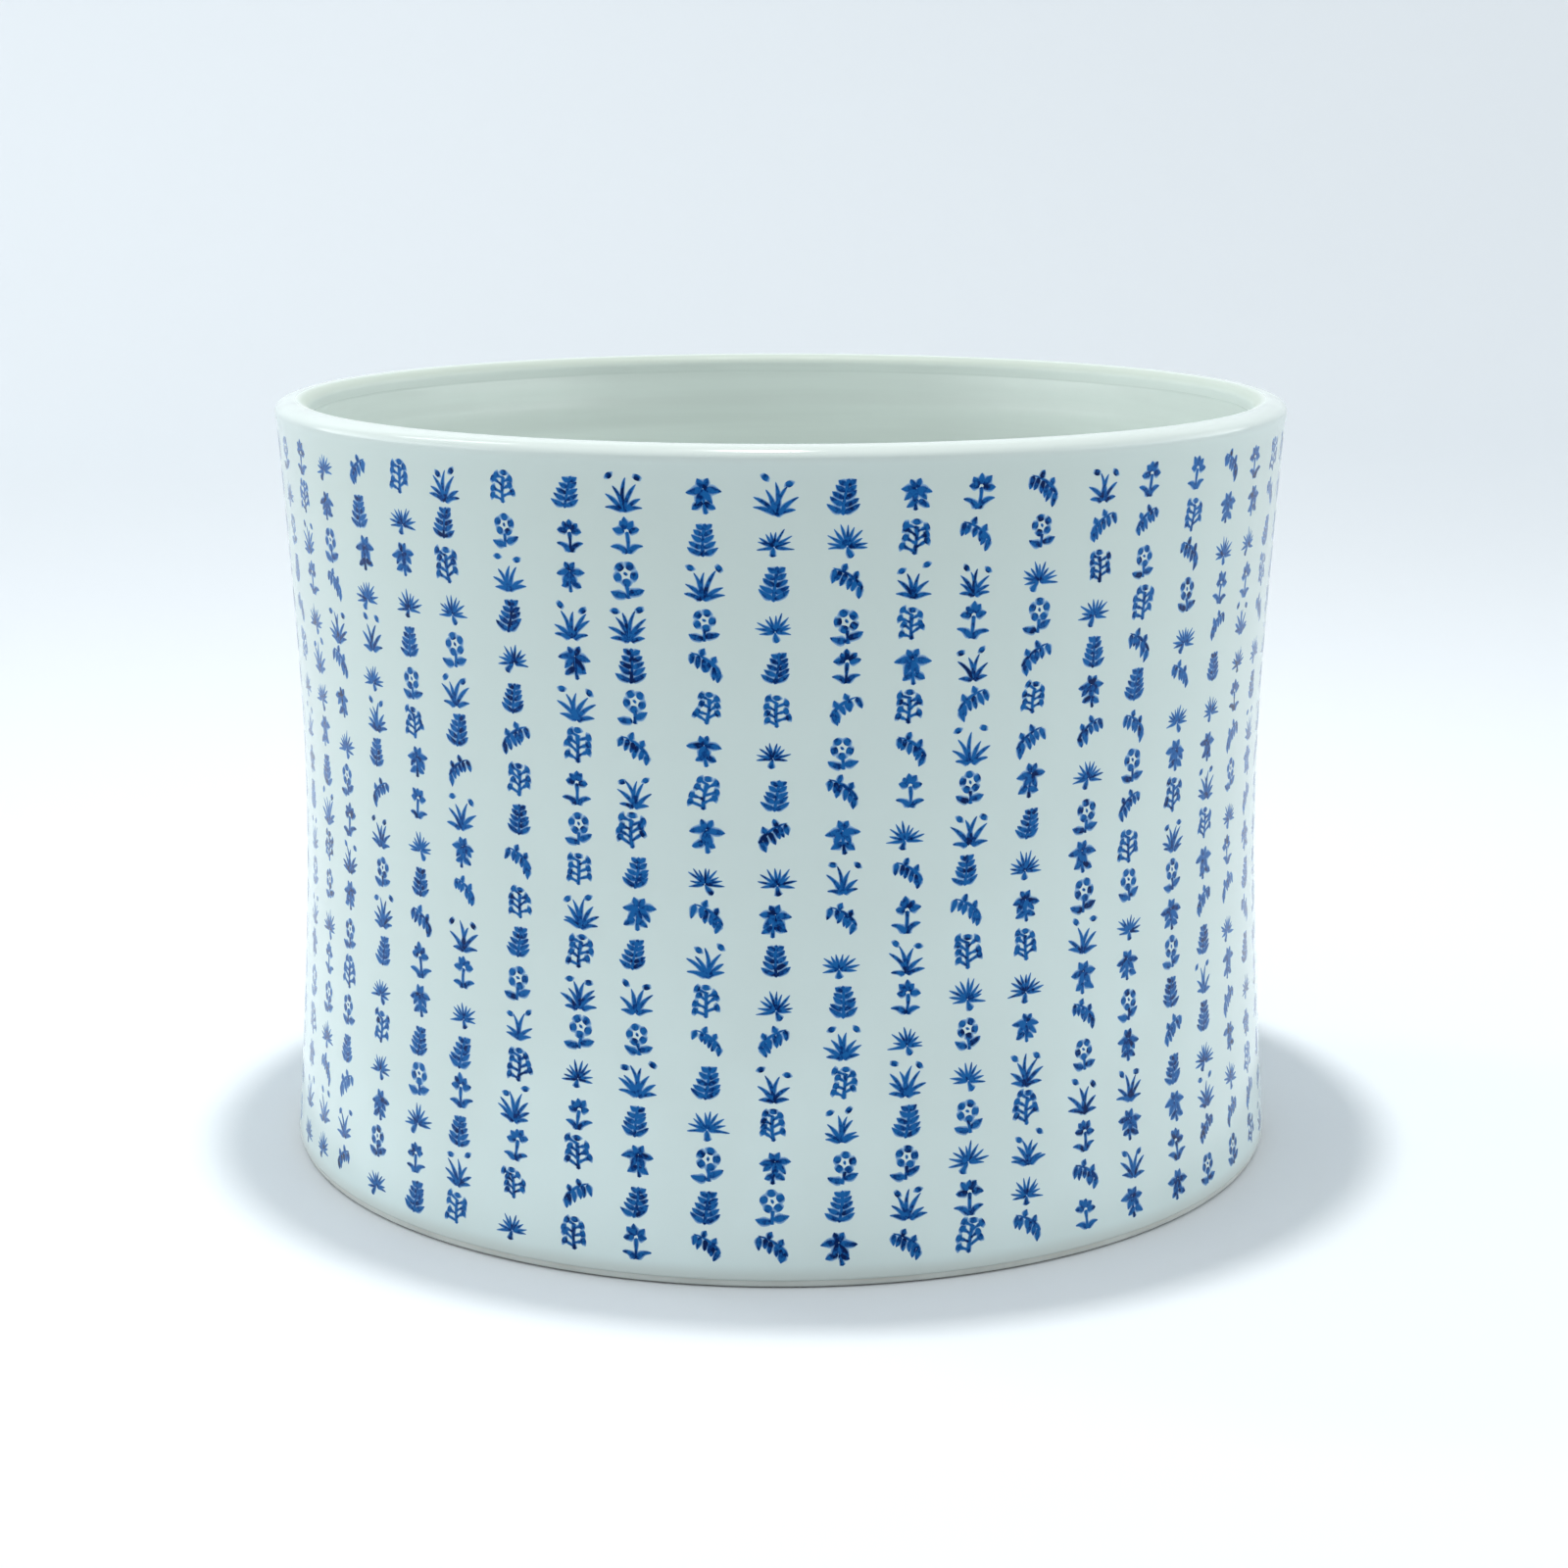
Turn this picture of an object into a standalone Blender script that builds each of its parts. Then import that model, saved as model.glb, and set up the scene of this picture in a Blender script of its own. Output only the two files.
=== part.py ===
"""Brush holder pot: a waisted porcelain cylinder with a rounded lip, a thick floor and a broad unglazed foot.

Two pieces of clay make the body: a base disc with the foot cut into its underside, and the thrown wall that
stands on it. Three coats of glaze cover them: one outside and over the lip, one inside, and one in the recess
under the floor. Each is its own turned solid about the Z axis. The origin is the centre of the resting plane.
"""

import math

import bpy

MM = 0.001
SEGMENTS = 64

# The glazed surface, which gives the pot its shape.
CREST_HEIGHT = 151.4 * MM
WAIST_RADIUS = 96.9 * MM
WAIST_HEIGHT = 77.0 * MM
FLARE_UP, SOFTNESS_UP = 0.068, 28.0 * MM
FLARE_DOWN, SOFTNESS_DOWN = 0.0953, 50.0 * MM
THICKNESS_AT_FOOT = 8.6 * MM
FLOOR_HEIGHT = 11.0 * MM
COVE_RADIUS = 8.0 * MM

# The lip: a half-round bead, wider outside its crest than inside.
LIP_FOOT = 147.4 * MM
LIP_RISE = 2.2 * MM
LIP_CREST_RADIUS = 96.6 * MM
LIP_OUTER_RADIUS = 100.45 * MM
LIP_SWELL = 0.05 * MM
MOUTH_RADIUS = 93.9 * MM

# The coats of glaze. The gap stands for the fused joint between two pieces.
GLAZE = 0.5 * MM
GAP = 0.3 * MM
COAT = GLAZE + GAP

# The underside: a broad flat ring around a shallow glazed recess.
RECESS_RADIUS = 45.0 * MM
RECESS_DEPTH = 3.0 * MM
FOOT_BEVEL = 1.0 * MM
RECESS_BEVEL = 0.5 * MM
GLAZE_LINE = 1.5 * MM
GLAZE_EDGE_RISE = 0.6 * MM

WALL_STEPS = 10
LIP_STEPS = 6
COVE_STEPS = 6
EDGE_STEPS = 2

# The disc's clay top, and the wall's clay foot just above it.
DISC_TOP = FLOOR_HEIGHT - COAT
WALL_SEAT = DISC_TOP + GAP
COVE_TOP = FLOOR_HEIGHT + COVE_RADIUS

PORCELAIN = (0.86, 0.84, 0.79)
PALE_BLUE_GLAZE = (0.70, 0.79, 0.79)
GREENISH_GLAZE = (0.62, 0.71, 0.67)
BISCUIT_ROUGHNESS = 0.75
GLAZE_ROUGHNESS = 0.2


def clear_scene():
    for old in list(bpy.data.objects):
        bpy.data.objects.remove(old)


def material(name, colour, roughness):
    made = bpy.data.materials.new(name)
    made.use_nodes = True
    shader = made.node_tree.nodes["Principled BSDF"]
    shader.inputs["Base Color"].default_value = (*colour, 1.0)
    shader.inputs["Roughness"].default_value = roughness
    shader.inputs["Metallic"].default_value = 0.0
    return made


def turned(name, profile, finish, closed):
    """A solid of revolution from (radius, height) pairs that run down the outer side, top to bottom.

    A closed profile makes a ring. An open one starts and ends on the axis and makes a disc.
    """
    count = len(profile)
    edges = [(i, i + 1) for i in range(count - 1)]
    if closed:
        edges.append((count - 1, 0))
    mesh = bpy.data.meshes.new(name)
    mesh.from_pydata([(radius, 0.0, height) for radius, height in profile], edges, [])
    mesh.materials.append(finish)
    piece = bpy.data.objects.new(name, mesh)
    bpy.context.scene.collection.objects.link(piece)
    screw = piece.modifiers.new("turning", "SCREW")
    screw.axis = "Z"
    screw.angle = math.tau
    screw.steps = SEGMENTS
    screw.render_steps = SEGMENTS
    screw.use_merge_vertices = True
    screw.merge_threshold = 0.00001
    screw.use_smooth_shade = True
    return piece


def spaced(low, high, steps):
    return [low + (high - low) * i / steps for i in range(steps + 1)]


def outer_radius(height):
    """Radius of the glazed outside: a hyperbola about the waist, with its own flare above and below it."""
    rise = height - WAIST_HEIGHT
    flare, softness = (FLARE_UP, SOFTNESS_UP) if rise > 0 else (FLARE_DOWN, SOFTNESS_DOWN)
    return WAIST_RADIUS + flare * (math.hypot(softness, rise) - softness)


def inner_radius(height):
    """Radius of the glazed inside: the wall thins evenly from the foot to the lip."""
    thickness_at_lip = outer_radius(LIP_FOOT) - MOUTH_RADIUS
    share = height / LIP_FOOT
    return outer_radius(height) - THICKNESS_AT_FOOT - (thickness_at_lip - THICKNESS_AT_FOOT) * share


def outside_up(low, inset):
    """Points up the outside from low to just short of the lip, moved into the clay by inset."""
    return [(outer_radius(height) - inset, height) for height in spaced(low, LIP_FOOT, WALL_STEPS)[:-1]]


def inside_up(high, inset):
    """Points up the inside from just above the cove to high, moved into the clay by inset."""
    return [(inner_radius(height) + inset, height) for height in spaced(COVE_TOP, high, WALL_STEPS)[1:]]


def over_lip(inset):
    """Points over the lip from its outer foot to its inner foot, moved into the clay by inset."""
    centre_height = CREST_HEIGHT - LIP_RISE
    rise = LIP_RISE - inset
    outer_reach = LIP_OUTER_RADIUS - LIP_CREST_RADIUS - inset
    inner_reach = LIP_CREST_RADIUS - MOUTH_RADIUS - inset
    points = [
        (outer_radius(LIP_FOOT) - inset, LIP_FOOT),
        (LIP_OUTER_RADIUS - LIP_SWELL - inset, (LIP_FOOT + centre_height) / 2),
    ]
    for angle in spaced(0.0, math.pi, LIP_STEPS):
        reach = outer_reach if angle < math.pi / 2 else inner_reach
        points.append((LIP_CREST_RADIUS + reach * math.cos(angle), centre_height + rise * math.sin(angle)))
    points.append((MOUTH_RADIUS + inset, LIP_FOOT))
    return points


def cove_up(inset, lowest=FLOOR_HEIGHT):
    """Points up the cove from the floor, or from a height of lowest, moved into the clay by inset."""
    centre_radius = inner_radius(COVE_TOP) - COVE_RADIUS
    reach = COVE_RADIUS + inset
    steepest = math.asin(min(1.0, (COVE_TOP - lowest) / reach))
    return [
        (centre_radius + reach * math.cos(angle), COVE_TOP - reach * math.sin(angle))
        for angle in spaced(steepest, 0.0, COVE_STEPS)
    ]


def base_disc(finish):
    """The floor and foot: flat on top, with a bare bevelled edge and a flat ring round a recess beneath."""
    recess_roof = RECESS_DEPTH + COAT
    foot_side = outer_radius(FOOT_BEVEL) - COAT
    profile = [
        (0.0, DISC_TOP),
        (outer_radius(DISC_TOP) - COAT, DISC_TOP),
        (foot_side, FOOT_BEVEL),
        (foot_side - FOOT_BEVEL, 0.0),
        (RECESS_RADIUS + RECESS_BEVEL, 0.0),
        (RECESS_RADIUS, RECESS_BEVEL),
        (RECESS_RADIUS, recess_roof),
        (0.0, recess_roof),
    ]
    return turned("base_disc", profile, finish, closed=False)


def wall_body(finish):
    """The thrown wall, from its seat on the disc to the clay of the lip, with the clay of the cove inside."""
    outside_down = outside_up(WALL_SEAT, COAT)[::-1]
    inside = cove_up(COAT, WALL_SEAT) + inside_up(LIP_FOOT, COAT)[:-1]
    return turned("wall_body", over_lip(COAT)[::-1] + outside_down + inside, finish, closed=True)


def outer_glaze(finish):
    """One coat from its rounded edge at the glaze line, up the outside and over the lip."""
    face = outside_up(GLAZE_LINE + GLAZE_EDGE_RISE, 0.0) + over_lip(0.0)
    back = outside_up(GLAZE_LINE, GLAZE) + over_lip(GLAZE)
    edge = [
        (
            outer_radius(GLAZE_LINE) - GLAZE * (1.0 - math.cos(angle)),
            GLAZE_LINE + GLAZE_EDGE_RISE * (1.0 - math.sin(angle)),
        )
        for angle in spaced(0.0, math.pi / 2, EDGE_STEPS)[1:-1]
    ]
    return turned("outer_glaze", face[::-1] + edge + back, finish, closed=True)


def inner_glaze(finish):
    """One coat over the floor, round the cove and up the inside to the lip."""
    top = LIP_FOOT - GAP
    face = [(0.0, FLOOR_HEIGHT)] + cove_up(0.0) + inside_up(top, 0.0)
    back = [(0.0, FLOOR_HEIGHT - GLAZE)] + cove_up(GLAZE, FLOOR_HEIGHT - GLAZE) + inside_up(top, GLAZE)
    return turned("inner_glaze", face + back[::-1], finish, closed=False)


def recess_glaze(finish):
    """The coat on the roof of the recess, within the foot ring."""
    radius = RECESS_RADIUS - GAP
    top = RECESS_DEPTH + GLAZE
    profile = [(0.0, top), (radius, top), (radius, RECESS_DEPTH), (0.0, RECESS_DEPTH)]
    return turned("recess_glaze", profile, finish, closed=False)


def main():
    clear_scene()
    base_disc(material("base_biscuit", PORCELAIN, BISCUIT_ROUGHNESS))
    wall_body(material("wall_biscuit", PORCELAIN, BISCUIT_ROUGHNESS))
    outer_glaze(material("outside_glaze", PALE_BLUE_GLAZE, GLAZE_ROUGHNESS))
    inner_glaze(material("inside_glaze", GREENISH_GLAZE, GLAZE_ROUGHNESS))
    recess_glaze(material("recess_glaze", PALE_BLUE_GLAZE, GLAZE_ROUGHNESS))


main()
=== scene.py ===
"""Looks of the brush holder pot: glazed porcelain with columns of cobalt sprigs painted round the outside.

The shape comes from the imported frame. Each coat and each clay piece is rebuilt as a smooth turned solid, and
every sprig is painted with thin closed brush strokes that follow the wall.
"""

import math
import random

import bpy
import numpy as np
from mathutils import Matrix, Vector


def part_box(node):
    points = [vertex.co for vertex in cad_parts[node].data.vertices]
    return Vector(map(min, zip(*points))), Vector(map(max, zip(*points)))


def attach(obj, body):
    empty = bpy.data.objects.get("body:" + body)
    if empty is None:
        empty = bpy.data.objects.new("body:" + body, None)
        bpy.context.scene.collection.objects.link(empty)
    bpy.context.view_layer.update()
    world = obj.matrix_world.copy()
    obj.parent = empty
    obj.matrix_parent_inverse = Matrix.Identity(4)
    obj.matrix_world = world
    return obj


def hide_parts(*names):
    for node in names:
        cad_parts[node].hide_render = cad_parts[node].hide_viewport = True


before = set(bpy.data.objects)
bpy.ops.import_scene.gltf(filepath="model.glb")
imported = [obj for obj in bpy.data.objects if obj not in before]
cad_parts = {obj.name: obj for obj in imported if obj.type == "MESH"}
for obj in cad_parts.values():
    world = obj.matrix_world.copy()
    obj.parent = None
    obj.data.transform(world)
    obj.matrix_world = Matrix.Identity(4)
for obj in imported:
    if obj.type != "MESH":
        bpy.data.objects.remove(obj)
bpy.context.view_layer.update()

MM = 0.001
FULL_TURN = 2.0 * math.pi

# How finely the turned solids are cut. Faces between clay and glaze are never seen, so they are cut coarsely.
TURN_STEPS = 512
FACE_STEP = 1.6 * MM
LIP_STEPS, HIDDEN_LIP_STEPS = 24, 8
COVE_STEPS = 16
ROUNDING_STEPS = 6
RING_STEPS = 24
HIDDEN_SKIP = 6

# The glazed wall outside is a hyperbola about its waist, with its own flare above and below.
WAIST_HEIGHT = 77.0 * MM
FLARE_UP, SOFTNESS_UP = 0.068, 28.0 * MM
FLARE_DOWN, SOFTNESS_DOWN = 0.0953, 50.0 * MM
THICKNESS_AT_FOOT = 8.6 * MM
LIP_FOOT = 147.4 * MM
LIP_RISE = 2.2 * MM
COVE = 8.0 * MM
GLAZE = 0.5 * MM
GLAZE_EDGE_RISE = 0.6 * MM
JOINT = 0.02 * MM
LIP_SWELL = 0.05 * MM

# The wall is not perfectly round: a slight oval, and a slighter three-lobed warp.
OVAL, OVAL_TURN = 0.11 * MM, 0.7
LOBES, LOBES_TURN = 0.05 * MM, 2.1

# Rings left by the thrower's fingers, strong inside and nearly wiped away outside.
RING_HEIGHT_INSIDE = 0.055 * MM
RING_HEIGHT_OUTSIDE = 0.008 * MM

# The painting: columns of sprigs on a hand-laid grid.
COLUMNS = 51
ROWS = 19
FIRST_COLUMN = math.radians(-0.95)
TOP_ROW = 142.9 * MM
ROW_PITCH = 7.52 * MM
COLUMN_JITTER = math.radians(0.42)
COLUMN_LEAN = math.radians(0.55)
PLACE_JITTER = 0.28 * MM
COLUMNS_PER_PIECE = 3

# A stroke is a low ridge. Its height follows its pigment, so where strokes cross, the stronger one shows.
STROKE_SECTIONS = 8
STROKE_LIFT = 0.03 * MM
STROKE_SINK = 0.002 * MM
STROKE_FULLNESS = 2.6

# Colours are linear.
GLAZE_HIGH = (0.55, 0.64, 0.61)
# The outside glaze low on the wall is lighter and bluer: painted light bounced up from the floor.
GLAZE_LOW_FLOOR_LIT = (0.64, 0.755, 0.745)
GLAZE_GREY = (0.56, 0.655, 0.635)
GLAZE_INSIDE = (0.665, 0.75, 0.71)
GLAZE_LIP = (0.63, 0.70, 0.675)
GLAZE_LIP_INSIDE = (0.46, 0.53, 0.475)
GLAZE_THIN = (0.52, 0.57, 0.545)
COBALT_HALO = (0.21, 0.37, 0.58)
COBALT_WASH = (0.009, 0.108, 0.345)
COBALT = (0.0, 0.034, 0.175)
COBALT_POOLED = (0.0, 0.011, 0.075)
BISCUIT = (0.54, 0.575, 0.55)
BISCUIT_BURNT = (0.52, 0.48, 0.41)
# Near-black painted contact shadow along the foot's outer edge, just above the floor.
FOOT_CONTACT_SHADE = (0.045, 0.045, 0.042)
IRON_SPECK = (0.20, 0.16, 0.11)
STAGE_WHITE = (0.86, 0.90, 0.93)

# Light, in the renderer's own units.
TENT_FRONT, TENT_LEFT, TENT_RIGHT = 0.0, 3.6, 3.15
TENT_ABOVE_FRONT, TENT_ABOVE_BACK = 0.82, 0.36
OVERHEAD_HEIGHT, OVERHEAD_SHIFT, OVERHEAD_SIZE = 0.87, -0.018, 0.06
OVERHEAD_POWER, OVERHEAD_COLOUR = 3.6, (1.0, 0.99, 0.97)
BACKDROP_PLACE, BACKDROP_AIM, BACKDROP_SIZE = (-1.7, 0.9, 2.2), (-1.2, 2.2, 0.8), (1.2, 0.5)
BACKDROP_POWER, BACKDROP_COLOUR = 12.5, (0.93, 0.97, 1.0)
TENT_COLOUR = (0.95, 0.98, 1.0)

CAMERA_PLACE = (0.6 * MM, -612.5 * MM, 207.6 * MM)
CAMERA_DROP = math.radians(12.61)
CAMERA_LENS = 69.65


# --- the pot's shape, sized from the frame -------------------------------------------------------------

def cad_points(node):
    """(radii, heights) of every vertex of a CAD node."""
    points = np.array([vertex.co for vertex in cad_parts[node].data.vertices], float)
    return np.hypot(points[:, 0], points[:, 1]), points[:, 2]


coat_radii, coat_heights = cad_points("outer_glaze")
CREST = float(coat_heights.max())
CREST_RADIUS = float(coat_radii[coat_heights > CREST - 0.01 * MM].mean())
MOUTH = float(coat_radii.min())
LIP_OUTER = float(coat_radii[coat_heights > LIP_FOOT + 0.5 * MM].max())
LIP_CENTRE = CREST - LIP_RISE
GLAZE_LINE = float(coat_heights.min())
FOOT_RADIUS = float(coat_radii.max())
FOOT_DROP = WAIST_HEIGHT - GLAZE_LINE - GLAZE_EDGE_RISE
WAIST_RADIUS = FOOT_RADIUS - FLARE_DOWN * (math.hypot(SOFTNESS_DOWN, FOOT_DROP) - SOFTNESS_DOWN)
FLOOR = float(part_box("inner_glaze")[0].z) + GLAZE
COVE_TOP = FLOOR + COVE
RECESS = float(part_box("recess_glaze")[0].z)
RECESS_RADIUS = float(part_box("recess_glaze")[1].x)


def outer_wall(z):
    """Radius of the glazed outside, before the thrower's irregularities."""
    rise = z - WAIST_HEIGHT
    up = FLARE_UP * (np.hypot(SOFTNESS_UP, rise) - SOFTNESS_UP)
    down = FLARE_DOWN * (np.hypot(SOFTNESS_DOWN, rise) - SOFTNESS_DOWN)
    return WAIST_RADIUS + np.where(rise > 0, up, down)


def inner_wall(z):
    """Radius of the glazed inside: the wall thins evenly from the foot to the lip."""
    thinning = THICKNESS_AT_FOOT - (outer_wall(LIP_FOOT) - MOUTH)
    return outer_wall(z) - THICKNESS_AT_FOOT + thinning * z / LIP_FOOT


COVE_CENTRE = float(inner_wall(COVE_TOP)) - COVE


def out_of_round(radius, angle, z):
    """The radius at this angle once the pot's warp is added. The flat foot has none."""
    lobes = OVAL * np.cos(2 * angle + OVAL_TURN) + LOBES * np.cos(3 * angle + LOBES_TURN)
    return radius + lobes * np.clip(z / CREST, 0.0, 1.0) * radius / WAIST_RADIUS


def rings(z, height):
    """Throwing rings: uneven waves up the wall, the sum of three that don't share a rhythm."""
    wave = np.sin(z * 980) + 0.7 * np.sin(z * 613 + 1.3) + 0.5 * np.sin(z * 1510 + 0.4)
    return height * wave / 2.2


def outside_radius(z):
    fade = np.clip((LIP_FOOT - z) / (6 * MM), 0.0, 1.0)
    return outer_wall(z) + rings(z, RING_HEIGHT_OUTSIDE) * fade


def inside_radius(z):
    fade = np.clip((LIP_FOOT - z) / (8 * MM), 0.0, 1.0) * np.clip((z - COVE_TOP) / (8 * MM), 0.0, 1.0)
    return inner_wall(z) + rings(z, RING_HEIGHT_INSIDE) * fade


# --- turned solids -------------------------------------------------------------------------------------

def grid_mesh(name, profile, closed):
    """A closed mesh turned from (radius, height) pairs. An open profile's ends lie on the axis."""
    inner = profile if closed else profile[1:-1]
    radii = np.array([p[0] for p in inner])
    heights = np.array([p[1] for p in inner])
    angles = np.arange(TURN_STEPS) * FULL_TURN / TURN_STEPS
    turned_radii = out_of_round(radii[:, None], angles[None, :], heights[:, None])
    grid = np.stack(
        [
            turned_radii * np.cos(angles),
            turned_radii * np.sin(angles),
            np.broadcast_to(heights[:, None], turned_radii.shape),
        ],
        axis=2,
    )
    vertices = grid.reshape(-1, 3).tolist()
    rows = len(inner)
    faces = []
    for row in range(rows if closed else rows - 1):
        here, below = row * TURN_STEPS, ((row + 1) % rows) * TURN_STEPS
        for i in range(TURN_STEPS):
            j = (i + 1) % TURN_STEPS
            faces.append((here + i, below + i, below + j, here + j))
    if not closed:
        top, bottom = len(vertices), len(vertices) + 1
        vertices += [(0.0, 0.0, profile[0][1]), (0.0, 0.0, profile[-1][1])]
        last = (rows - 1) * TURN_STEPS
        for i in range(TURN_STEPS):
            j = (i + 1) % TURN_STEPS
            faces.append((top, i, j))
            faces.append((bottom, last + j, last + i))
    mesh = bpy.data.meshes.new(name)
    mesh.from_pydata(vertices, [], faces)
    mesh.shade_smooth()
    mesh.set_sharp_from_angle(angle=math.radians(38))
    return mesh


def add_piece(name, mesh, finish, slot, *nodes):
    """Puts a mesh in the scene as a piece of the pot."""
    mesh.materials.append(finish)
    piece = bpy.data.objects.new(name, mesh)
    bpy.context.scene.collection.objects.link(piece)
    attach(piece, "root")
    if nodes:
        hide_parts(*nodes)


def quarter_turn(last=ROUNDING_STEPS):
    """Angles up to a quarter turn in equal steps, without the first and up to the last given."""
    return [math.pi / 2 * i / ROUNDING_STEPS for i in range(1, last + 1)]


def lip_points(inset, steps=LIP_STEPS):
    """Points over the lip from its inner foot to its outer one, moved into the clay by inset."""
    points = [(MOUTH + inset, LIP_FOOT)]
    for i in range(steps + 1):
        angle = math.pi * (1 - i / steps)
        reach = LIP_OUTER - CREST_RADIUS if angle < math.pi / 2 else CREST_RADIUS - MOUTH
        points.append(
            (
                CREST_RADIUS + (reach - inset) * math.cos(angle),
                LIP_CENTRE + (LIP_RISE - inset) * math.sin(angle),
            )
        )
    points.append((LIP_OUTER - LIP_SWELL - inset, (LIP_FOOT + LIP_CENTRE) / 2))
    return points


def heights_between(low, high):
    count = max(2, int(round((high - low) / FACE_STEP)))
    return np.linspace(low, high, count + 1)


def cove_points(inset):
    """Points up the cove from the floor to the wall, moved into the clay by inset."""
    reach = COVE + inset
    return [
        (COVE_CENTRE + reach * math.cos(angle), COVE_TOP - reach * math.sin(angle))
        for angle in np.linspace(math.pi / 2, 0.0, COVE_STEPS)
    ]


def inside_points(inset):
    """Points up the inside wall from above the cove to the lip, moved into the clay by inset."""
    return [(float(inside_radius(z)) + inset, float(z)) for z in heights_between(COVE_TOP, LIP_FOOT)[1:]]


def outside_points(low, inset):
    """Points up the outside wall from low to the lip, moved into the clay by inset."""
    return [(float(outside_radius(z)) - inset, float(z)) for z in heights_between(low, LIP_FOOT)]


def outside_coat(finish):
    """One coat from its rounded edge at the glaze line, up the outside and over the lip."""
    edge_rise = 0.7 * MM
    edge = GLAZE_LINE + edge_rise
    face = outside_points(edge, 0.0)
    back = outside_points(edge, GLAZE)[::HIDDEN_SKIP]
    rounded = []
    for angle in quarter_turn(ROUNDING_STEPS - 1):
        rounded.append((face[0][0] - GLAZE * (1 - math.cos(angle)), edge - edge_rise * math.sin(angle)))
    profile = lip_points(0.0) + face[::-1] + rounded + back + lip_points(GLAZE, HIDDEN_LIP_STEPS)[::-1]
    mesh = grid_mesh("outside_glaze_coat", profile, True)
    add_piece("outside_glaze_coat", mesh, finish, "outside_glaze", "outer_glaze")


def inside_coat(finish):
    """Flat floor, cove and wall in one coat, up to the foot of the lip."""
    floor = [(COVE_CENTRE * i / 12, FLOOR) for i in range(1, 12)]
    face = [(0.0, FLOOR)] + floor + cove_points(0.0) + inside_points(0.0)
    back = inside_points(GLAZE)[::-HIDDEN_SKIP] + cove_points(GLAZE)[::-1] + [(0.0, FLOOR - GLAZE)]
    mesh = grid_mesh("inside_glaze_coat", face + back, False)
    add_piece("inside_glaze_coat", mesh, finish, "inside_glaze", "inner_glaze")


def wall_clay(finish):
    """The thrown wall, between the two coats and down to its seat on the base."""
    inset = GLAZE + JOINT
    seat = FLOOR - GLAZE
    outside = outside_points(seat, inset)[::-HIDDEN_SKIP]
    foot = float(outside_radius(seat)) - inset
    profile = lip_points(inset, HIDDEN_LIP_STEPS) + outside[:-1] + [(foot, seat)]
    profile += cove_points(inset)[1:] + inside_points(inset)[::HIDDEN_SKIP]
    mesh = grid_mesh("wall_clay", profile, True)
    add_piece("wall_clay", mesh, finish, "biscuit", "wall_body")


def base_clay(finish):
    """The bare foot: rounded outer edge, broad flat ring and the recess's wall and roof."""
    top = FLOOR - GLAZE - 2 * JOINT
    side = float(outer_wall(GLAZE_LINE)) - GLAZE - JOINT
    waist = float(outer_wall(top)) - GLAZE - JOINT - 0.1 * MM
    edge, bore = 1.0 * MM, RECESS_RADIUS + 0.3 * MM
    bore_edge = bore + 0.5 * MM
    profile = [(0.0, top), (waist, top), (side, GLAZE_LINE), (side, edge)]
    for angle in quarter_turn():
        profile.append((side - edge * (1 - math.cos(angle)), edge * (1 - math.sin(angle))))
    for radius in np.linspace(side - edge, bore_edge, RING_STEPS + 1)[1:]:
        profile.append((float(radius), 0.0))
    profile += [(bore + 0.15 * MM, 0.15 * MM), (bore, 0.5 * MM)]
    profile += [(bore, RECESS + GLAZE + JOINT), (0.0, RECESS + GLAZE + JOINT)]
    mesh = grid_mesh("base_clay", profile, False)
    add_piece("base_clay", mesh, finish, "biscuit", "base_disc")


def recess_coat(finish):
    """The glazed roof of the recess, turned down a little at its rim."""
    rim = RECESS_RADIUS + 0.25 * MM
    roll, reach = 0.5 * MM, 1.2 * MM
    profile = [(0.0, RECESS + GLAZE), (rim, RECESS + GLAZE), (rim, RECESS - roll)]
    for angle in quarter_turn():
        profile.append((rim - reach * math.sin(angle), RECESS - roll * math.cos(angle)))
    profile += [(rim * 0.66, RECESS), (rim * 0.33, RECESS), (0.0, RECESS)]
    mesh = grid_mesh("recess_glaze_coat", profile, False)
    add_piece("recess_glaze_coat", mesh, finish, "recess_glaze", "recess_glaze")


# --- brush strokes -------------------------------------------------------------------------------------

def leaf(t):
    """Pointed at both ends and fullest before the middle."""
    return math.sin(math.pi * t ** 0.7) ** 0.75


def blade(t):
    """Pressed down early, then drawn out to a long point."""
    return min(1.0, 4.0 * t + 0.35) * (1.0 - t) ** 0.5


def stem(t):
    """Even, with a small press at either end."""
    return 0.75 + 0.6 * abs(t - 0.45)


def dab(t):
    """A round touch of the brush tip."""
    return math.sqrt(max(0.0, 1.0 - (2.0 * t - 1.0) ** 2))


def curve_between(start, end, bow):
    """A bowed path from start to end. Bow is how far its middle moves aside, as a share of its length."""
    dx, dy = end[0] - start[0], end[1] - start[1]
    middle = ((start[0] + end[0]) / 2 - dy * bow, (start[1] + end[1]) / 2 + dx * bow)

    def at(t):
        a, b, c = (1 - t) ** 2, 2 * t * (1 - t), t ** 2
        return (a * start[0] + b * middle[0] + c * end[0], a * start[1] + b * middle[1] + c * end[1])

    return at


def stroke(start, end, width, shape, bow=0.0, ink=1.0):
    return {"path": curve_between(start, end, bow), "width": width, "shape": shape, "ink": ink}


def towards(point, degrees, length):
    angle = math.radians(degrees)
    return (point[0] + length * math.cos(angle), point[1] + length * math.sin(angle))


# Sprigs are in millimetres, with the origin in the middle of their place in the grid.

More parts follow.
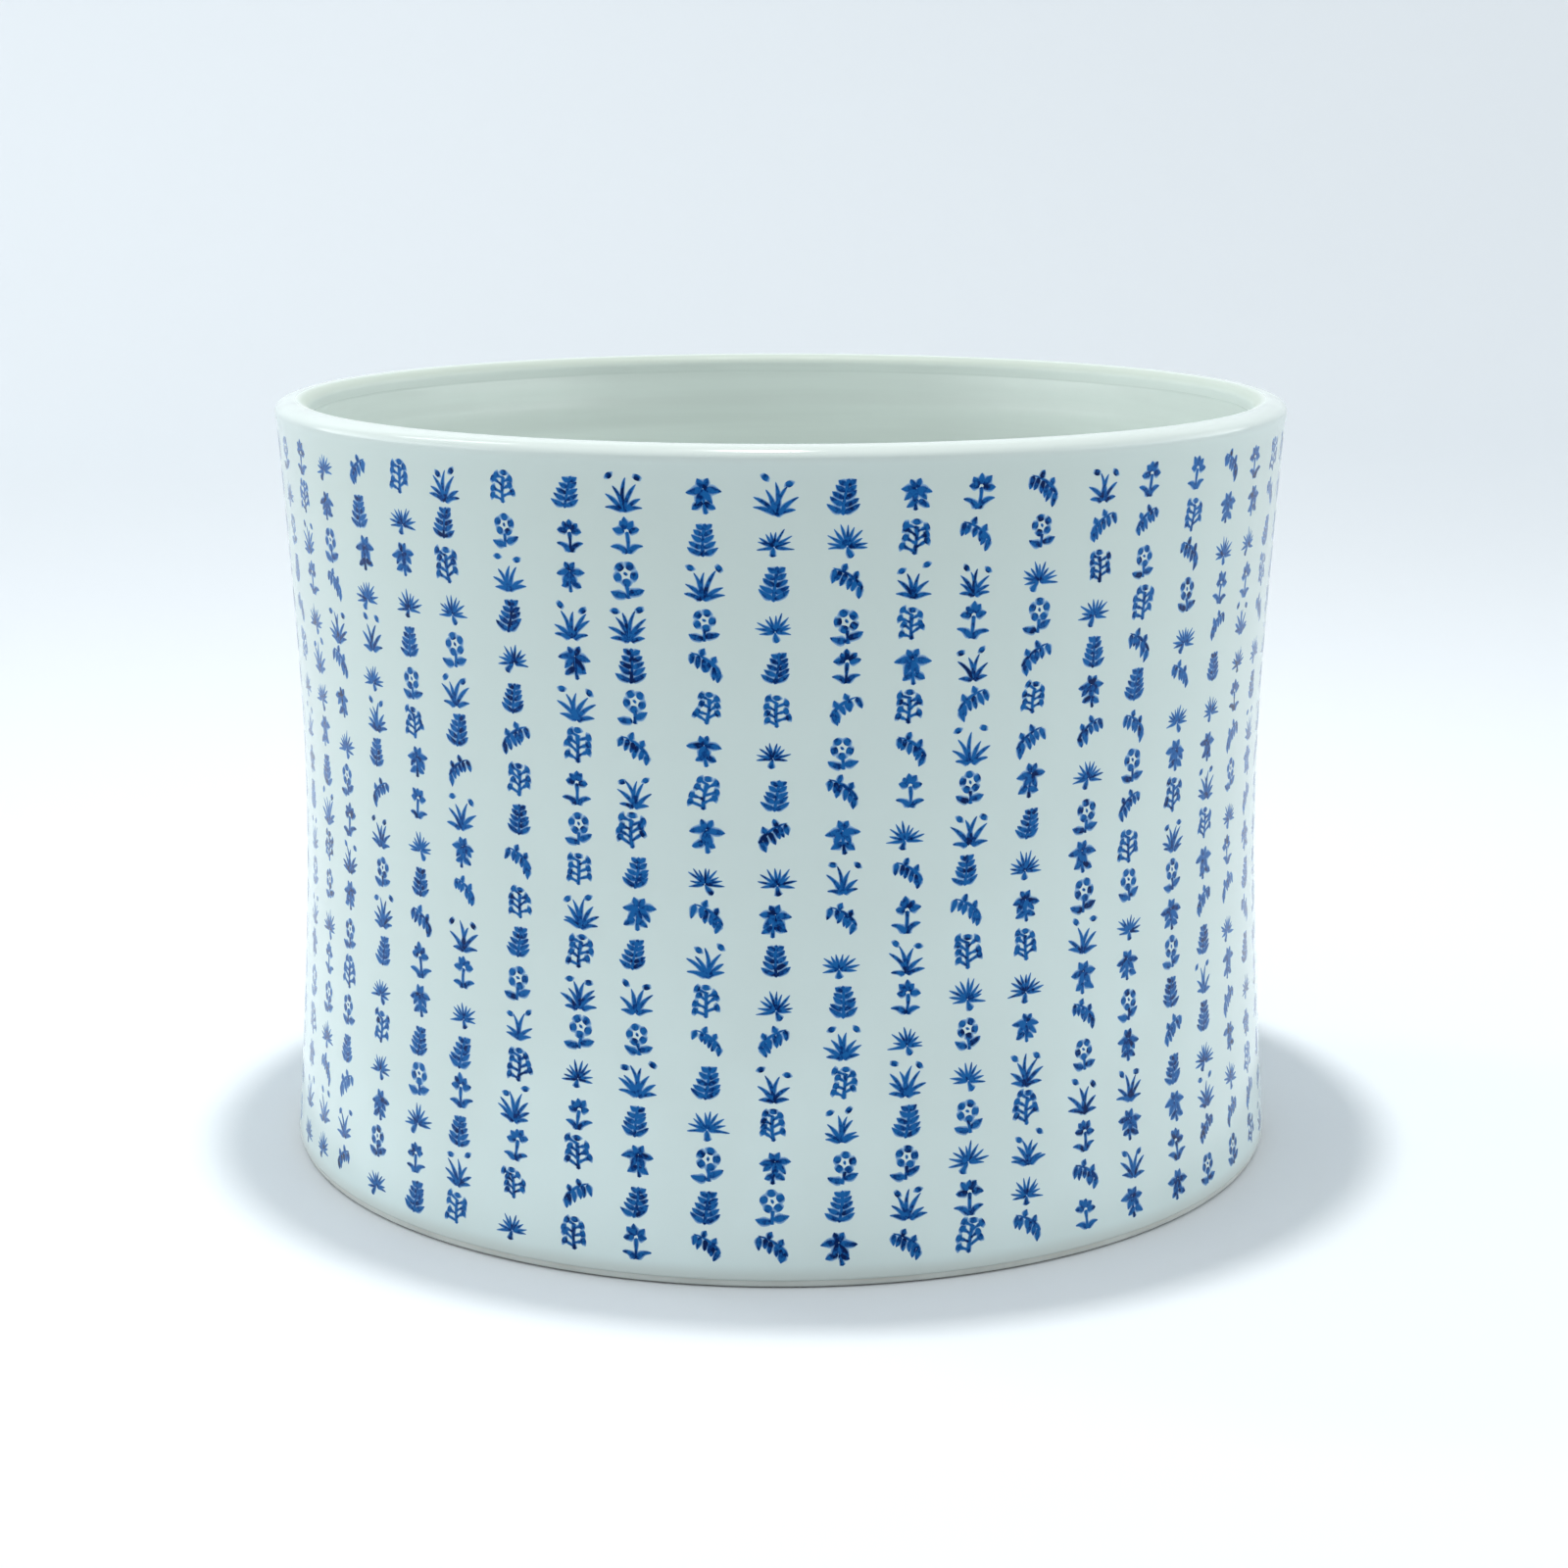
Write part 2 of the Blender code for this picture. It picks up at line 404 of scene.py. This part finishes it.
def bamboo(rng):
    """Leaves hanging from a joint near the top of a short stem, and two from a lower one."""
    joint, lower = (rng.uniform(-0.4, 0.4), rng.uniform(1.0, 1.5)), (rng.uniform(-0.3, 0.3), -1.0)
    strokes = [stroke((rng.uniform(-0.6, 0.6), -3.2), joint, 0.48, stem, 0.06)]
    count = rng.randint(4, 5)
    for i in range(count):
        angle = -172 + 164 * i / (count - 1) + rng.uniform(-8, 8)
        end = towards(joint, angle, rng.uniform(2.9, 3.5))
        strokes.append(stroke(joint, end, 0.85, leaf, rng.uniform(-0.12, 0.12)))
    for angle in (-152, -28, 118, 62):
        start = lower if angle < 0 else joint
        end = towards(start, angle + rng.uniform(-9, 9), rng.uniform(2.2, 2.8) if angle < 0 else 2.1)
        strokes.append(stroke(start, end, 0.8, leaf, rng.uniform(-0.1, 0.1)))
    return strokes


def fern(rng):
    """Pairs of leaves up a leaning spine."""
    foot, tip = (rng.uniform(-0.8, 0.2), -3.2), (rng.uniform(-0.1, 0.9), 3.3)
    spine = stroke(foot, tip, 0.5, stem, rng.uniform(-0.12, 0.12))
    strokes = [spine]
    for i in range(5):
        place = spine["path"](0.1 + 0.18 * i)
        length = 3.2 - 0.36 * i
        strokes.append(stroke(place, towards(place, 30 + rng.uniform(-6, 6), length), 0.68, leaf, -0.12))
        strokes.append(stroke(place, towards(place, 150 + rng.uniform(-6, 6), length), 0.68, leaf, 0.12))
    return strokes


def blossom(rng):
    """A flower of five round petals over two leaves."""
    heart = (rng.uniform(-0.4, 0.4), rng.uniform(0.9, 1.2))
    turn = rng.uniform(0, 72)
    strokes = [stroke(towards(heart, turn, -0.3), towards(heart, turn, 0.3), 0.45, dab)]
    for i in range(5):
        inner = towards(heart, turn + 72 * i, 0.75)
        strokes.append(stroke(inner, towards(heart, turn + 72 * i, 2.3), 0.98, dab, 0.0, 0.92))
    foot = (rng.uniform(-0.4, 0.4), -3.2)
    strokes.append(stroke((heart[0], heart[1] - 1.6), foot, 0.48, stem, 0.1))
    strokes.append(stroke((0.0, -2.0), towards((0.0, -2.0), rng.uniform(8, 30), 3.1), 0.85, leaf, -0.15))
    strokes.append(stroke((0.0, -2.6), towards((0.0, -2.6), rng.uniform(150, 172), 3.1), 0.85, leaf, 0.15))
    return strokes


def grass(rng):
    """Long blades fanning from one foot, with seeds above."""
    strokes = []
    count = rng.randint(6, 8)
    for i in range(count):
        angle = 14 + 152 * i / (count - 1) + rng.uniform(-6, 6)
        length = rng.uniform(4.8, 6.3) * (0.50 + 0.50 * math.sin(math.radians(angle)))
        bow = 0.16 if angle < 90 else -0.16
        foot = (rng.uniform(-0.4, 0.4), -3.2)
        strokes.append(stroke(foot, towards((0.0, -3.2), angle, length), 0.68, blade, bow))
    for side in (-1, 1):
        place = (side * rng.uniform(1.7, 2.6), rng.uniform(1.2, 2.8))
        strokes.append(stroke(place, towards(place, rng.uniform(40, 140), 1.2), 0.85, dab))
    return strokes


def berries(rng):
    """Berries on short stalks to either side of a stem."""
    foot, tip = (rng.uniform(-0.5, 0.5), -3.2), (rng.uniform(-0.6, 0.6), 2.2)
    spine = stroke(foot, tip, 0.5, stem, rng.uniform(-0.15, 0.15))
    strokes = [spine]
    for i in range(7):
        place = spine["path"](0.14 + 0.13 * i)
        angle = (26 if i % 2 else 154) + rng.uniform(-12, 12)
        end = towards(place, angle, rng.uniform(1.5, 2.3) - 0.07 * i)
        strokes.append(stroke(place, end, 0.4, stem))
        strokes.append(stroke(towards(end, angle, -0.2), towards(end, angle, 1.0), 0.92, dab))
    strokes.append(stroke(tip, towards(tip, 88, 1.2), 0.95, dab))
    return strokes


def pine(rng):
    """A fan of needles from the fork of a twig."""
    fork = (rng.uniform(-0.4, 0.4), rng.uniform(-1.4, -1.0))
    strokes = [stroke((rng.uniform(-1.6, 1.6), -3.2), fork, 0.8, blade, 0.1)]
    count = rng.randint(10, 11)
    for i in range(count):
        angle = -8 + 196 * i / (count - 1) + rng.uniform(-4, 4)
        end = towards(fork, angle, rng.uniform(2.9, 4.1))
        strokes.append(stroke(fork, end, 0.5, blade, rng.uniform(-0.05, 0.05)))
    return strokes


def orchid(rng):
    """Arched leaves below a flower of loose petals."""
    foot = (rng.uniform(-0.3, 0.3), -3.2)
    flower = (rng.uniform(-0.5, 0.5), rng.uniform(0.8, 1.2))
    strokes = [
        stroke(foot, (rng.uniform(2.6, 3.2), rng.uniform(-2.2, -1.2)), 0.85, blade, 0.34),
        stroke(foot, (rng.uniform(-3.2, -2.6), rng.uniform(-2.2, -1.2)), 0.85, blade, -0.34),
        stroke(foot, flower, 0.48, stem, rng.uniform(-0.12, 0.12)),
    ]
    for angle in (2, 50, 92, 130, 178):
        start = towards(flower, angle, 0.3)
        end = towards(flower, angle + rng.uniform(-9, 9), rng.uniform(2.1, 2.8))
        strokes.append(stroke(start, end, 0.85, leaf, rng.uniform(-0.15, 0.15)))
    return strokes


def willow(rng):
    """A bent branch with leaves hanging from it."""
    side = rng.choice((-1, 1))
    branch = stroke((-2.8 * side, -1.4), (2.6 * side, 2.6), 0.55, blade, 0.22 * side)
    strokes = [branch]
    for i in range(6):
        place = branch["path"](0.12 + 0.16 * i)
        end = towards(place, -90 + 16 * side + rng.uniform(-12, 12), rng.uniform(2.0, 2.8))
        strokes.append(stroke(place, end, 0.7, leaf, rng.uniform(-0.14, 0.14)))
    for share in (0.35, 0.7):
        place = branch["path"](share)
        strokes.append(stroke(place, towards(place, 90 + 25 * side, 1.6), 0.66, leaf, 0.1))
    return strokes


SPRIGS = (bamboo, fern, blossom, grass, berries, pine, orchid, willow)


class Painting:
    """Collects the strokes of some columns into one mesh."""

    def __init__(self):
        self.points = []
        self.faces = []
        self.tops = []

    def point(self, angle, z, lift, pigment, ink):
        self.points.append((angle, z, lift, pigment, ink))
        return len(self.points) - 1

    def face(self, corners, top):
        self.faces.append(corners)
        self.tops.append(top)

    def add(self, made, angle, z, scale, ink, rng):
        """One stroke: a tip, sections of left, middle and right points, and a tip, closed underneath."""
        wobble = rng.uniform(0.0, FULL_TURN)
        unit = scale * MM

        def place(x, y, lift, pigment, density):
            return self.point(angle + x * unit / WAIST_RADIUS, z + y * unit, lift, pigment, density)

        first = place(*made["path"](0.0), -STROKE_SINK, 0.0, ink)
        left, middle, right = [], [], []
        for i in range(STROKE_SECTIONS):
            t = (i + 0.5) / STROKE_SECTIONS
            x, y = made["path"](t)
            ahead, behind = made["path"](t + 0.02), made["path"](t - 0.02)
            dx, dy = ahead[0] - behind[0], ahead[1] - behind[1]
            size = math.hypot(dx, dy)
            uneven = 1.0 + 0.1 * math.sin(9 * t + wobble)
            half = max(0.1, made["width"] / 2 * made["shape"](t) * STROKE_FULLNESS * uneven)
            across = (-dy / size * half, dx / size * half)
            pressed = ink * made["ink"] * (0.84 + 0.3 * math.cos(2.6 * t + 0.4 * wobble))
            full = min(1.0, 0.5 + half)
            left.append(place(x + across[0], y + across[1], -STROKE_SINK, 0.0, pressed))
            middle.append(place(x, y, STROKE_LIFT * full, full, pressed))
            right.append(place(x - across[0], y - across[1], -STROKE_SINK, 0.0, pressed))
        last = place(*made["path"](1.0), -STROKE_SINK, 0.0, ink)
        self.face((first, middle[0], left[0]), True)
        self.face((first, right[0], middle[0]), True)
        self.face((first, left[0], right[0]), False)
        for i in range(STROKE_SECTIONS - 1):
            self.face((left[i], middle[i], middle[i + 1], left[i + 1]), True)
            self.face((middle[i], right[i], right[i + 1], middle[i + 1]), True)
            self.face((left[i], left[i + 1], right[i + 1], right[i]), False)
        self.face((last, left[-1], middle[-1]), True)
        self.face((last, middle[-1], right[-1]), True)
        self.face((last, right[-1], left[-1]), False)

    def mesh(self, name):
        """Bends the strokes onto the wall. Glaze lies smooth over them, so they take the wall's normals."""
        angle, z, lift, pigment, ink = np.array(self.points).T
        radius = out_of_round(outside_radius(z), angle - math.pi / 2, z) + lift
        slope = (outside_radius(z + 0.5 * MM) - outside_radius(z - 0.5 * MM)) / MM
        vertices = np.stack([radius * np.sin(angle), -radius * np.cos(angle), z], axis=1)
        normals = np.stack([np.sin(angle), -np.cos(angle), -slope], axis=1)
        normals /= np.linalg.norm(normals, axis=1)[:, None]
        mesh = bpy.data.meshes.new(name)
        mesh.from_pydata(vertices.tolist(), [], self.faces)
        mesh.shade_smooth()
        for label, values in (("pigment", pigment), ("ink", ink)):
            layer = mesh.attributes.new(label, "FLOAT", "POINT")
            layer.data.foreach_set("value", values.astype(np.float32))
        corners = np.concatenate([np.array(face) for face in self.faces])
        signs = np.repeat([1.0 if top else -1.0 for top in self.tops], [len(face) for face in self.faces])
        mesh.normals_split_custom_set((normals[corners] * signs[:, None]).tolist())
        return mesh


def paint_columns(finish):
    rng = random.Random(1707)
    lean = [rng.uniform(-1.0, 1.0) for _ in range(COLUMNS)]
    places = [
        FIRST_COLUMN + FULL_TURN * column / COLUMNS + rng.uniform(-1.0, 1.0) * COLUMN_JITTER
        for column in range(COLUMNS)
    ]
    for start in range(0, COLUMNS, COLUMNS_PER_PIECE):
        painting = Painting()
        for column in range(start, min(start + COLUMNS_PER_PIECE, COLUMNS)):
            before = None
            for row in range(ROWS):
                sprig = rng.choice([other for other in SPRIGS if other is not before])
                before = sprig
                sway = COLUMN_LEAN * lean[column] * (row / (ROWS - 1) - 0.5)
                angle = places[column] + sway + rng.uniform(-1.0, 1.0) * PLACE_JITTER / WAIST_RADIUS
                z = TOP_ROW - row * ROW_PITCH + rng.uniform(-1.0, 1.0) * PLACE_JITTER
                scale = rng.uniform(0.90, 1.03)
                ink = rng.uniform(0.74, 1.12)
                for made in sprig(rng):
                    painting.add(made, angle, z, scale, ink * rng.uniform(0.8, 1.15), rng)
        name = f"painted_columns_{start // COLUMNS_PER_PIECE + 1:02d}"
        add_piece(name, painting.mesh(name), finish, "cobalt_painting")


# --- materials -----------------------------------------------------------------------------------------

def shade(colour, share):
    """The colour with a share of its light."""
    return tuple(channel * share for channel in colour)


class Nodes:
    """Short forms for building a material's nodes."""

    def __init__(self, name):
        self.material = bpy.data.materials.new(name)
        self.material.use_nodes = True
        self.tree = self.material.node_tree
        self.shader = self.tree.nodes["Principled BSDF"]
        self.geometry = self.add("ShaderNodeNewGeometry")
        self.position = self.geometry.outputs["Position"]
        split = self.add("ShaderNodeSeparateXYZ")
        self.link(self.position, split.inputs[0])
        self.height = split.outputs[2]

    def add(self, kind, **settings):
        node = self.tree.nodes.new(kind)
        for key, value in settings.items():
            setattr(node, key, value)
        return node

    def link(self, a, b):
        self.tree.links.new(a, b)

    def mix(self, factor, a, b):
        """A colour between a and b. Each may be a socket or a colour, and factor a socket or a number."""
        node = self.add("ShaderNodeMix", data_type="RGBA")
        for value, socket in ((factor, node.inputs[0]), (a, node.inputs[6]), (b, node.inputs[7])):
            if isinstance(value, tuple):
                socket.default_value = (*value, 1.0)
            elif isinstance(value, (int, float)):
                socket.default_value = value
            else:
                self.link(value, socket)
        return node.outputs[2]

    def ramp(self, value, low, high, to_low=0.0, to_high=1.0, smooth=True):
        """Maps low to high onto to_low to to_high, and holds beyond them."""
        node = self.add("ShaderNodeMapRange", interpolation_type="SMOOTHSTEP" if smooth else "LINEAR")
        self.link(value, node.inputs[0])
        for socket, number in zip(list(node.inputs)[1:5], (low, high, to_low, to_high)):
            socket.default_value = number
        return node.outputs[0]

    def maths(self, operation, a, b=0.0):
        node = self.add("ShaderNodeMath", operation=operation)
        for value, socket in ((a, node.inputs[0]), (b, node.inputs[1])):
            if isinstance(value, (int, float)):
                socket.default_value = value
            else:
                self.link(value, socket)
        return node.outputs[0]

    def from_axis(self):
        """Distance from the pot's axis."""
        flat = self.add("ShaderNodeVectorMath", operation="MULTIPLY")
        flat.inputs[1].default_value = (1.0, 1.0, 0.0)
        self.link(self.position, flat.inputs[0])
        length = self.add("ShaderNodeVectorMath", operation="LENGTH")
        self.link(flat.outputs[0], length.inputs[0])
        return length.outputs["Value"]

    def outwardness(self):
        """From 1 where the surface faces away from the pot's axis to -1 where it faces the axis."""
        flat = self.add("ShaderNodeVectorMath", operation="MULTIPLY")
        flat.inputs[1].default_value = (1.0, 1.0, 0.0)
        self.link(self.position, flat.inputs[0])
        outward = self.add("ShaderNodeVectorMath", operation="NORMALIZE")
        self.link(flat.outputs[0], outward.inputs[0])
        dot = self.add("ShaderNodeVectorMath", operation="DOT_PRODUCT")
        self.link(outward.outputs[0], dot.inputs[0])
        self.link(self.geometry.outputs["Normal"], dot.inputs[1])
        return dot.outputs["Value"]

    def noise(self, scale, detail=2.0, stretch=None):
        """Noise with features about 1 / scale metres across. Stretch squeezes the axes first."""
        node = self.add("ShaderNodeTexNoise")
        node.inputs["Scale"].default_value = scale
        node.inputs["Detail"].default_value = detail
        source = self.position
        if stretch:
            squeeze = self.add("ShaderNodeVectorMath", operation="MULTIPLY")
            squeeze.inputs[1].default_value = stretch
            self.link(source, squeeze.inputs[0])
            source = squeeze.outputs[0]
        self.link(source, node.inputs["Vector"])
        return node.outputs[0]

    def bump(self, value, distance, strength=1.0):
        node = self.add("ShaderNodeBump")
        node.inputs["Strength"].default_value = strength
        node.inputs["Distance"].default_value = distance
        self.link(value, node.inputs["Height"])
        self.link(node.outputs[0], self.shader.inputs["Normal"])


def iron_specks(nodes):
    """A small round speck in one cell of every seven, where the cells are about 16 mm across."""
    cells = nodes.add("ShaderNodeTexVoronoi")
    cells.inputs["Scale"].default_value = 62.0
    nodes.link(nodes.position, cells.inputs["Vector"])
    chosen = nodes.add("ShaderNodeSeparateColor")
    nodes.link(cells.outputs["Color"], chosen.inputs[0])
    rare = nodes.maths("GREATER_THAN", chosen.outputs[0], 0.86)
    return nodes.maths("MULTIPLY", nodes.ramp(cells.outputs["Distance"], 0.012, 0.028, 1.0, 0.0), rare)


def glaze_colour(nodes):
    """Glaze over porcelain: cloudy, greener inside, lighter and bluer low down from painted floor light, paler
    where it thins, darker on the lip's inner side.
    """
    outwardness = nodes.outwardness()
    faces_out = nodes.ramp(outwardness, 0.0, 0.5)
    faces_in = nodes.ramp(outwardness, -0.55, -0.05, 1.0, 0.0)
    cloud = nodes.ramp(nodes.noise(22.0, 3.0), 0.35, 0.65)
    # Painted light: the outside is lighter and bluer near the foot, as if lit from the floor, and fades up the
    # wall.
    floor_light_fade = nodes.ramp(nodes.height, 15 * MM, 140 * MM, smooth=False)
    outside = nodes.mix(floor_light_fade, GLAZE_LOW_FLOOR_LIT, GLAZE_HIGH)
    outside = nodes.mix(nodes.maths("MULTIPLY", cloud, 0.5), outside, GLAZE_GREY)
    # Inside, darker horizontal streaks are painted shade of the throwing rings. Soft vertical bands below them
    # are darker in places.
    ring_shade = nodes.ramp(nodes.noise(30.0, 4.0, (0.35, 0.35, 7.0)), 0.3, 0.7)
    vertical_bands = nodes.ramp(nodes.noise(22.0, 1.0, (1.0, 1.0, 0.12)), 0.3, 0.7)
    uneven = nodes.maths("ADD", nodes.maths("MULTIPLY", ring_shade, 0.6), nodes.maths("MULTIPLY", vertical_bands, 0.4))
    inside = nodes.mix(uneven, GLAZE_INSIDE, shade(GLAZE_INSIDE, 0.87))
    thin_foot = nodes.ramp(nodes.height, GLAZE_LINE, GLAZE_LINE + 3.5 * MM, 0.9, 0.0)
    outside = nodes.mix(thin_foot, outside, GLAZE_THIN)
    colour = nodes.mix(faces_out, inside, outside)
    # Over the lip the glaze is paler on its outward side and darker on its inward side.
    thin_outside = nodes.ramp(nodes.height, LIP_FOOT + 0.2 * MM, CREST - 0.6 * MM, 0.0, 0.85)
    thin_inside = nodes.ramp(nodes.height, LIP_CENTRE - 0.2 * MM, LIP_CENTRE + 1.3 * MM, 0.0, 0.95)
    thin = nodes.mix(faces_out, thin_inside, thin_outside)
    colour = nodes.mix(thin, colour, nodes.mix(faces_in, GLAZE_LIP, GLAZE_LIP_INSIDE))
    return nodes.mix(nodes.maths("MULTIPLY", iron_specks(nodes), 0.55), colour, IRON_SPECK)


def glaze_surface(nodes):
    """Glassy, with a faint orange-peel skin and an uneven polish. The lip's inner side is duller."""
    polish = nodes.ramp(nodes.noise(60.0, 2.0), 0.3, 0.7, 0.10, 0.19)
    inner_side = nodes.ramp(nodes.outwardness(), -0.4, 0.1, 1.0, 0.0)
    on_lip = nodes.ramp(nodes.height, LIP_FOOT, LIP_FOOT + 1.0 * MM, 0.0, 0.35)
    dull = nodes.maths("MULTIPLY", inner_side, on_lip)
    nodes.link(nodes.maths("ADD", polish, dull), nodes.shader.inputs["Roughness"])
    nodes.shader.inputs["IOR"].default_value = 1.5
    nodes.bump(nodes.noise(240.0, 2.0), 0.012 * MM, 0.6)


def glaze_material(name):
    nodes = Nodes(name)
    nodes.link(glaze_colour(nodes), nodes.shader.inputs["Base Color"])
    glaze_surface(nodes)
    return nodes.material


def cobalt_material():
    """Cobalt under the same glaze: a soft pale edge, blotchy within, and darkest where it pooled."""
    nodes = Nodes("cobalt_under_glaze")
    ground = glaze_colour(nodes)
    pigment = nodes.add("ShaderNodeAttribute", attribute_name="pigment").outputs["Fac"]
    ink = nodes.add("ShaderNodeAttribute", attribute_name="ink").outputs["Fac"]
    blotch = nodes.ramp(nodes.noise(1200.0, 3.0), 0.3, 0.7, -0.33, 0.33)
    density = nodes.maths("ADD", ink, blotch)
    cobalt = nodes.mix(nodes.ramp(density, 0.42, 0.95), COBALT_WASH, COBALT)
    cobalt = nodes.mix(nodes.ramp(density, 0.85, 1.12), cobalt, COBALT_POOLED)
    halo = nodes.mix(nodes.ramp(pigment, 0.06, 0.24), ground, COBALT_HALO)
    covered = nodes.mix(nodes.ramp(pigment, 0.25, 0.59), halo, cobalt)
    nodes.link(covered, nodes.shader.inputs["Base Color"])
    glaze_surface(nodes)
    facing_away = nodes.add("ShaderNodeLayerWeight").outputs["Facing"]
    sheen = nodes.ramp(facing_away, 0.05, 0.85, 0.06, 0.5, smooth=False)
    nodes.link(sheen, nodes.shader.inputs["Specular IOR Level"])
    nodes.shader.inputs["Specular Tint"].default_value = (0.72, 0.87, 1.0, 1.0)
    return nodes.material


def biscuit_material():
    """Bare porcelain: chalky, faintly burnt up by the glaze, with a painted contact shadow along the foot's
    outer edge.
    """
    nodes = Nodes("bare_biscuit")
    mottled = nodes.ramp(nodes.noise(90.0, 4.0), 0.35, 0.65)
    colour = nodes.mix(mottled, BISCUIT, shade(BISCUIT, 0.9))
    patches = nodes.ramp(nodes.noise(45.0), 0.35, 0.65, 0.1, 1.0)
    burnt = nodes.ramp(nodes.height, 0.5 * MM, 1.4 * MM, 0.0, 0.3)
    colour = nodes.mix(nodes.maths("MULTIPLY", burnt, patches), colour, BISCUIT_BURNT)
    # A near-black band from the floor up to half a millimetre, on the foot's outer edge only: painted contact
    # shadow.
    rounding = nodes.ramp(nodes.height, 0.02 * MM, 0.06 * MM)
    contact_shade = nodes.maths("MULTIPLY", nodes.ramp(nodes.height, 0.15 * MM, 0.5 * MM, 0.95, 0.0), rounding)
    outer_edge = nodes.ramp(nodes.from_axis(), FOOT_RADIUS - 8 * MM, FOOT_RADIUS - 2.5 * MM)
    contact_shade = nodes.maths("MULTIPLY", contact_shade, outer_edge)
    colour = nodes.mix(contact_shade, colour, FOOT_CONTACT_SHADE)
    nodes.link(colour, nodes.shader.inputs["Base Color"])
    nodes.link(nodes.ramp(nodes.noise(200.0), 0.3, 0.7, 0.7, 0.9), nodes.shader.inputs["Roughness"])
    nodes.bump(nodes.noise(1400.0, 4.0), 0.05 * MM, 0.5)
    return nodes.material


def stage_material():
    """Matt white paper, with a hardly visible unevenness."""
    nodes = Nodes("studio_sweep")
    even = nodes.ramp(nodes.noise(1.2, 1.0), 0.3, 0.7)
    white = nodes.mix(even, STAGE_WHITE, shade(STAGE_WHITE, 0.99))
    nodes.link(white, nodes.shader.inputs["Base Color"])
    nodes.shader.inputs["Roughness"].default_value = 0.9
    nodes.shader.inputs["Specular IOR Level"].default_value = 0.0
    return nodes.material


# --- studio --------------------------------------------------------------------------------------------

def studio_sweep():
    """Pale floor that curves up into a pale wall behind, so that no horizon shows."""
    front, back, bend, top, half = -2.4, 1.3, 0.9, 2.6, 3.2
    outline = [(front, 0.0), (back, 0.0)]
    for i in range(1, 25):
        angle = math.pi / 2 * i / 24
        outline.append((back + bend * math.sin(angle), bend * (1 - math.cos(angle))))
    outline.append((back + bend, top))
    vertices = [(side * half, y, z) for y, z in outline for side in (-1, 1)]
    faces = [(2 * i, 2 * i + 1, 2 * i + 3, 2 * i + 2) for i in range(len(outline) - 1)]
    mesh = bpy.data.meshes.new("studio_sweep")
    mesh.from_pydata(vertices, [], faces)
    mesh.shade_smooth()
    mesh.materials.append(stage_material())
    sweep = bpy.data.objects.new("studio_sweep", mesh)
    bpy.context.scene.collection.objects.link(sweep)


def softbox(name, place, aim, size, power, colour, shape="RECTANGLE"):
    lamp = bpy.data.lights.new(name, "AREA")
    lamp.shape = shape
    lamp.size, lamp.size_y = size
    lamp.energy = power
    lamp.color = colour
    holder = bpy.data.objects.new(name, lamp)
    holder.location = place
    direction = Vector([a - p for a, p in zip(aim, place)])
    holder.rotation_euler = direction.to_track_quat("-Z", "Y").to_euler()
    bpy.context.scene.collection.objects.link(holder)


def tent_light():
    """Light as in a white tent: strong at the sides and behind, weaker above, none from the camera's side."""
    world = bpy.data.worlds.new("light_tent")
    world.use_nodes = True
    tree = world.node_tree
    background = tree.nodes["Background"]
    direction = tree.nodes.new("ShaderNodeTexCoord")
    split = tree.nodes.new("ShaderNodeSeparateXYZ")
    tree.links.new(direction.outputs["Generated"], split.inputs[0])

    def graded(socket, low, high, at_low, at_high):
        ramp = tree.nodes.new("ShaderNodeMapRange")
        ramp.interpolation_type = "SMOOTHSTEP"
        for place, number in zip(list(ramp.inputs)[1:5], (low, high, at_low, at_high)):
            if isinstance(number, float):
                place.default_value = number
            else:
                tree.links.new(number, place)
        tree.links.new(socket, ramp.inputs[0])
        return ramp.outputs[0]

    sides = graded(split.outputs[0], -0.9, 0.9, TENT_LEFT, TENT_RIGHT)
    around = graded(split.outputs[1], -1.0, -0.15, TENT_FRONT, sides)
    above = graded(split.outputs[1], -0.6, 0.6, TENT_ABOVE_FRONT, TENT_ABOVE_BACK)
    strength = graded(split.outputs[2], 0.05, 0.6, around, above)
    tree.links.new(strength, background.inputs[1])
    background.inputs[0].default_value = (*TENT_COLOUR, 1.0)
    bpy.context.scene.world = world


def lights():
    """A small lamp overhead draws the crisp round shadow. The tent and a backdrop lamp do the rest."""
    lamp = (OVERHEAD_SHIFT, 0.0, OVERHEAD_HEIGHT)
    below = (OVERHEAD_SHIFT, 0.0, 0.0)
    spread = (OVERHEAD_SIZE, OVERHEAD_SIZE)
    softbox("overhead_lamp", lamp, below, spread, OVERHEAD_POWER, OVERHEAD_COLOUR, "DISK")
    softbox("backdrop_lamp", BACKDROP_PLACE, BACKDROP_AIM, BACKDROP_SIZE, BACKDROP_POWER, BACKDROP_COLOUR)
    tent_light()


def camera():
    """A long lens from a little above the rim, looking down into the mouth."""
    lens = bpy.data.cameras.new("camera")
    lens.sensor_width = 36.0
    lens.lens = CAMERA_LENS
    lens.clip_start = 0.01
    holder = bpy.data.objects.new("camera", lens)
    holder.location = CAMERA_PLACE
    holder.rotation_euler = (math.pi / 2 - CAMERA_DROP, 0.0, 0.0)
    bpy.context.scene.collection.objects.link(holder)
    bpy.context.scene.camera = holder


def main():
    bpy.context.scene.view_settings.view_transform = "Standard"
    outside = glaze_material("outside_glaze")
    inside = glaze_material("inside_glaze")
    biscuit = biscuit_material()
    outside_coat(outside)
    inside_coat(inside)
    wall_clay(biscuit)
    base_clay(biscuit)
    recess_coat(outside)
    paint_columns(cobalt_material())
    studio_sweep()
    lights()
    camera()


main()
